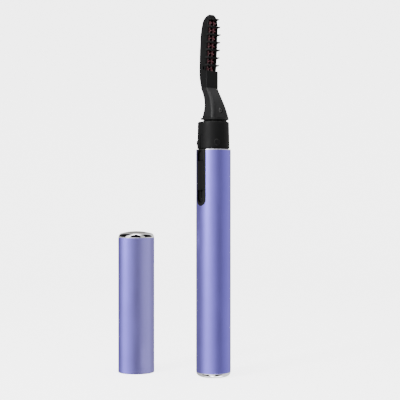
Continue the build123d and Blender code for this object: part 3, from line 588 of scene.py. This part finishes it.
def coil_points(side, steps=24):
    """Points up one rod's winding; side is -1 for the near rod and 1 for its mirror image."""
    total = int(COIL_TURNS * steps)
    lean = math.atan(LEAN)
    points = []
    for i in range(total + 1):
        angle = 2 * math.pi * i / steps
        along = COIL_PITCH * i / steps
        flat_x = COIL_R * math.cos(angle)
        flat_y = COIL_R * math.sin(angle)
        x = heater_x(COIL_START) + flat_x * math.cos(lean) + along * math.sin(lean)
        z = COIL_START - flat_x * math.sin(lean) + along * math.cos(lean)
        points.append((x, side * (COIL_Y - flat_y), z))
    return points


def make_winding(material):
    """One wire: up the near rod, across behind the tip, and down the far rod."""
    near = coil_points(-1)
    far = coil_points(1)
    x, y, z = near[-1]
    reach = abs(y)
    arch = []
    for i in range(1, 12):
        angle = math.pi * i / 12
        arch.append((x - 0.9 * reach * math.sin(angle), -reach * math.cos(angle), z + 0.12 * math.sin(angle)))
    bm = bmesh.new()
    tube_along(bm, near + arch + list(reversed(far)), WIRE_R, 14)
    obj = new_object("heater_winding", bm, material, "chassis", 80.0)
    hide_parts("heater_coil_left", "heater_coil_right", "heater_bridge")
    return obj


make_winding(winding)


# ---------------------------------------------------------------- camera, floor and light

def place(right, towards, up):
    """A point given in millimetres to the right of the pen, nearer the camera, and up."""
    return (RIGHT * right + TOWARDS * towards + Vector((0, 0, up))) * MM


cam_data = bpy.data.cameras.new("camera")
cam_data.lens = LENS
cam_data.sensor_width = SENSOR
cam_data.clip_start = 0.01
cam = bpy.data.objects.new("camera", cam_data)
bpy.context.collection.objects.link(cam)
cam.location = place(*CAMERA_PLACE)
cam.rotation_mode = "QUATERNION"
cam.rotation_quaternion = (-TOWARDS).to_track_quat("-Z", "Y")
bpy.context.scene.camera = cam


def area_light(name, right, towards, up, aim, size, power, colour=(1, 1, 1)):
    data = bpy.data.lights.new(name, "AREA")
    data.shape = "RECTANGLE"
    data.size = size[0] * MM
    data.size_y = size[1] * MM
    data.energy = power
    data.color = colour
    lamp = bpy.data.objects.new(name, data)
    bpy.context.collection.objects.link(lamp)
    lamp.location = place(right, towards, up)
    target = Vector(place(*aim))
    lamp.rotation_mode = "QUATERNION"
    lamp.rotation_quaternion = (target - lamp.location).to_track_quat("-Z", "Y")
    return lamp


# Studio brightness around the object: degrees right of the camera, and how bright it is there
AROUND = ((-180, 0.5), (-135, 0.26), (-103, 0.26), (-78, 0.52), (-52, 1.85), (-34, 1.6), (-9, 1.0),
          (9, 0.6), (28, 0.22), (52, 0.27), (78, 0.72), (105, 0.84), (126, 1.0), (150, 0.5), (180, 0.5))
# Share of it that is left at each height, in degrees above the horizon
UPWARDS = ((-90, 5.0), (-62, 5.0), (-50, 1.0), (0, 1.0), (58, 1.0), (72, 5.0), (90, 5.0))
BACKDROP_GLOW = 3.6
SKY_EXTRA = 0.7


def ramp(tree, stops, low, high):
    """A colour ramp over a range of degrees, as a smooth brightness curve."""
    made = tree.nodes.new("ShaderNodeValToRGB")
    made.color_ramp.interpolation = "EASE"
    elements = made.color_ramp.elements
    while len(elements) > 1:
        elements.remove(elements[-1])
    for i, (degrees, level) in enumerate(stops):
        place_at = (degrees - low) / (high - low)
        element = elements[0] if i == 0 else elements.new(place_at)
        element.position = place_at
        element.color = (level, level, level, 1)
    return made


def make_world():
    """A soft studio: a broad light to the left, a dark side to the right, and a light overhead."""
    world = bpy.data.worlds.new("studio")
    bpy.context.scene.world = world
    world.use_nodes = True
    tree = world.node_tree
    tree.nodes.clear()
    link = tree.links.new

    coords = tree.nodes.new("ShaderNodeTexCoord")
    around, height = studio_angles(tree, coords.outputs["Generated"])
    around_share = math_node(tree, "MULTIPLY_ADD", around, 1 / (2 * math.pi), 0.5)
    height_share = math_node(tree, "MULTIPLY_ADD", height, 1 / math.pi, 0.5)
    around_ramp = ramp(tree, AROUND, -180, 180)
    height_ramp = ramp(tree, UPWARDS, -90, 90)
    link(around_share, around_ramp.inputs[0])
    link(height_share, height_ramp.inputs[0])
    level = math_node(tree, "MULTIPLY", around_ramp.outputs[0], height_ramp.outputs[0])
    light_path = tree.nodes.new("ShaderNodeLightPath")
    glow = tree.nodes.new("ShaderNodeBackground")
    glow.inputs["Color"].default_value = (1, 1, 1, 1)
    link(level, glow.inputs["Strength"])
    plain = tree.nodes.new("ShaderNodeBackground")
    plain.inputs["Color"].default_value = (1, 1, 1, 1)
    plain.inputs["Strength"].default_value = BACKDROP_GLOW + SKY_EXTRA
    mix = tree.nodes.new("ShaderNodeMixShader")
    out = tree.nodes.new("ShaderNodeOutputWorld")
    link(light_path.outputs["Is Camera Ray"], mix.inputs[0])
    link(glow.outputs[0], mix.inputs[1])
    link(plain.outputs[0], mix.inputs[2])
    link(mix.outputs[0], out.inputs["Surface"])


make_world()
area_light("key", -300, 330, 260, (0, 0, 110), (60, 200), 1.6)
area_light("top", -40, 40, 480, (0, 0, 80), (420, 300), 1.2)


def floor_material():
    """Pale paper that glows for the camera, and lets the studio through to the object's reflections."""
    g = Graph("floor_paper")
    g.set(Roughness=0.8)
    cloud = g.noise(3.0, 3.0)
    g.colour(g.mix(g.spread(cloud, 0.0, 1.0), rgba(0.86, 0.86, 0.86), rgba(0.9, 0.9, 0.9)))
    g.bump(g.noise(900.0, 2.0), 0.05, 0.0001)
    g.set(Emission_Color=(1, 1, 1, 1), Emission_Strength=BACKDROP_GLOW)
    clear = g.node("ShaderNodeBsdfTransparent")
    light_path = g.node("ShaderNodeLightPath")
    mix = g.node("ShaderNodeMixShader")
    g.link(light_path, "Is Camera Ray", mix, 0)
    g.tree.links.new(clear.outputs[0], mix.inputs[1])
    g.tree.links.new(g.bsdf.outputs["BSDF"], mix.inputs[2])
    g.tree.links.new(mix.outputs[0], g.out.inputs["Surface"])
    return g.mat


# The paper lies this far under the object's foot, in millimetres, so that the two never fight
FLOOR_DROP = 0.02


def make_floor():
    """A pale sweep: flat underfoot, then curving up behind."""
    bm = bmesh.new()
    start, radius, steps = 500, 400, 16
    front, top, half_width = -900, 2200, 2500
    outline = [(front, 0)]
    for i in range(steps + 1):
        angle = math.pi / 2 * i / steps
        outline.append((start + radius * math.sin(angle), radius - radius * math.cos(angle)))
    outline.append((start + radius, top))
    rows = []
    for back, up in outline:
        ends = (-half_width, half_width)
        rows.append([bm.verts.new(place(side, -back, up - FLOOR_DROP)) for side in ends])
    for low, high in zip(rows, rows[1:]):
        bm.faces.new((low[0], low[1], high[1], high[0]))
    mesh = bpy.data.meshes.new("floor")
    bmesh.ops.recalc_face_normals(bm, faces=bm.faces)
    bm.to_mesh(mesh)
    bm.free()
    for face in mesh.polygons:
        face.use_smooth = True
    floor = bpy.data.objects.new("floor", mesh)
    bpy.context.collection.objects.link(floor)
    mesh.materials.append(floor_material())


make_floor()
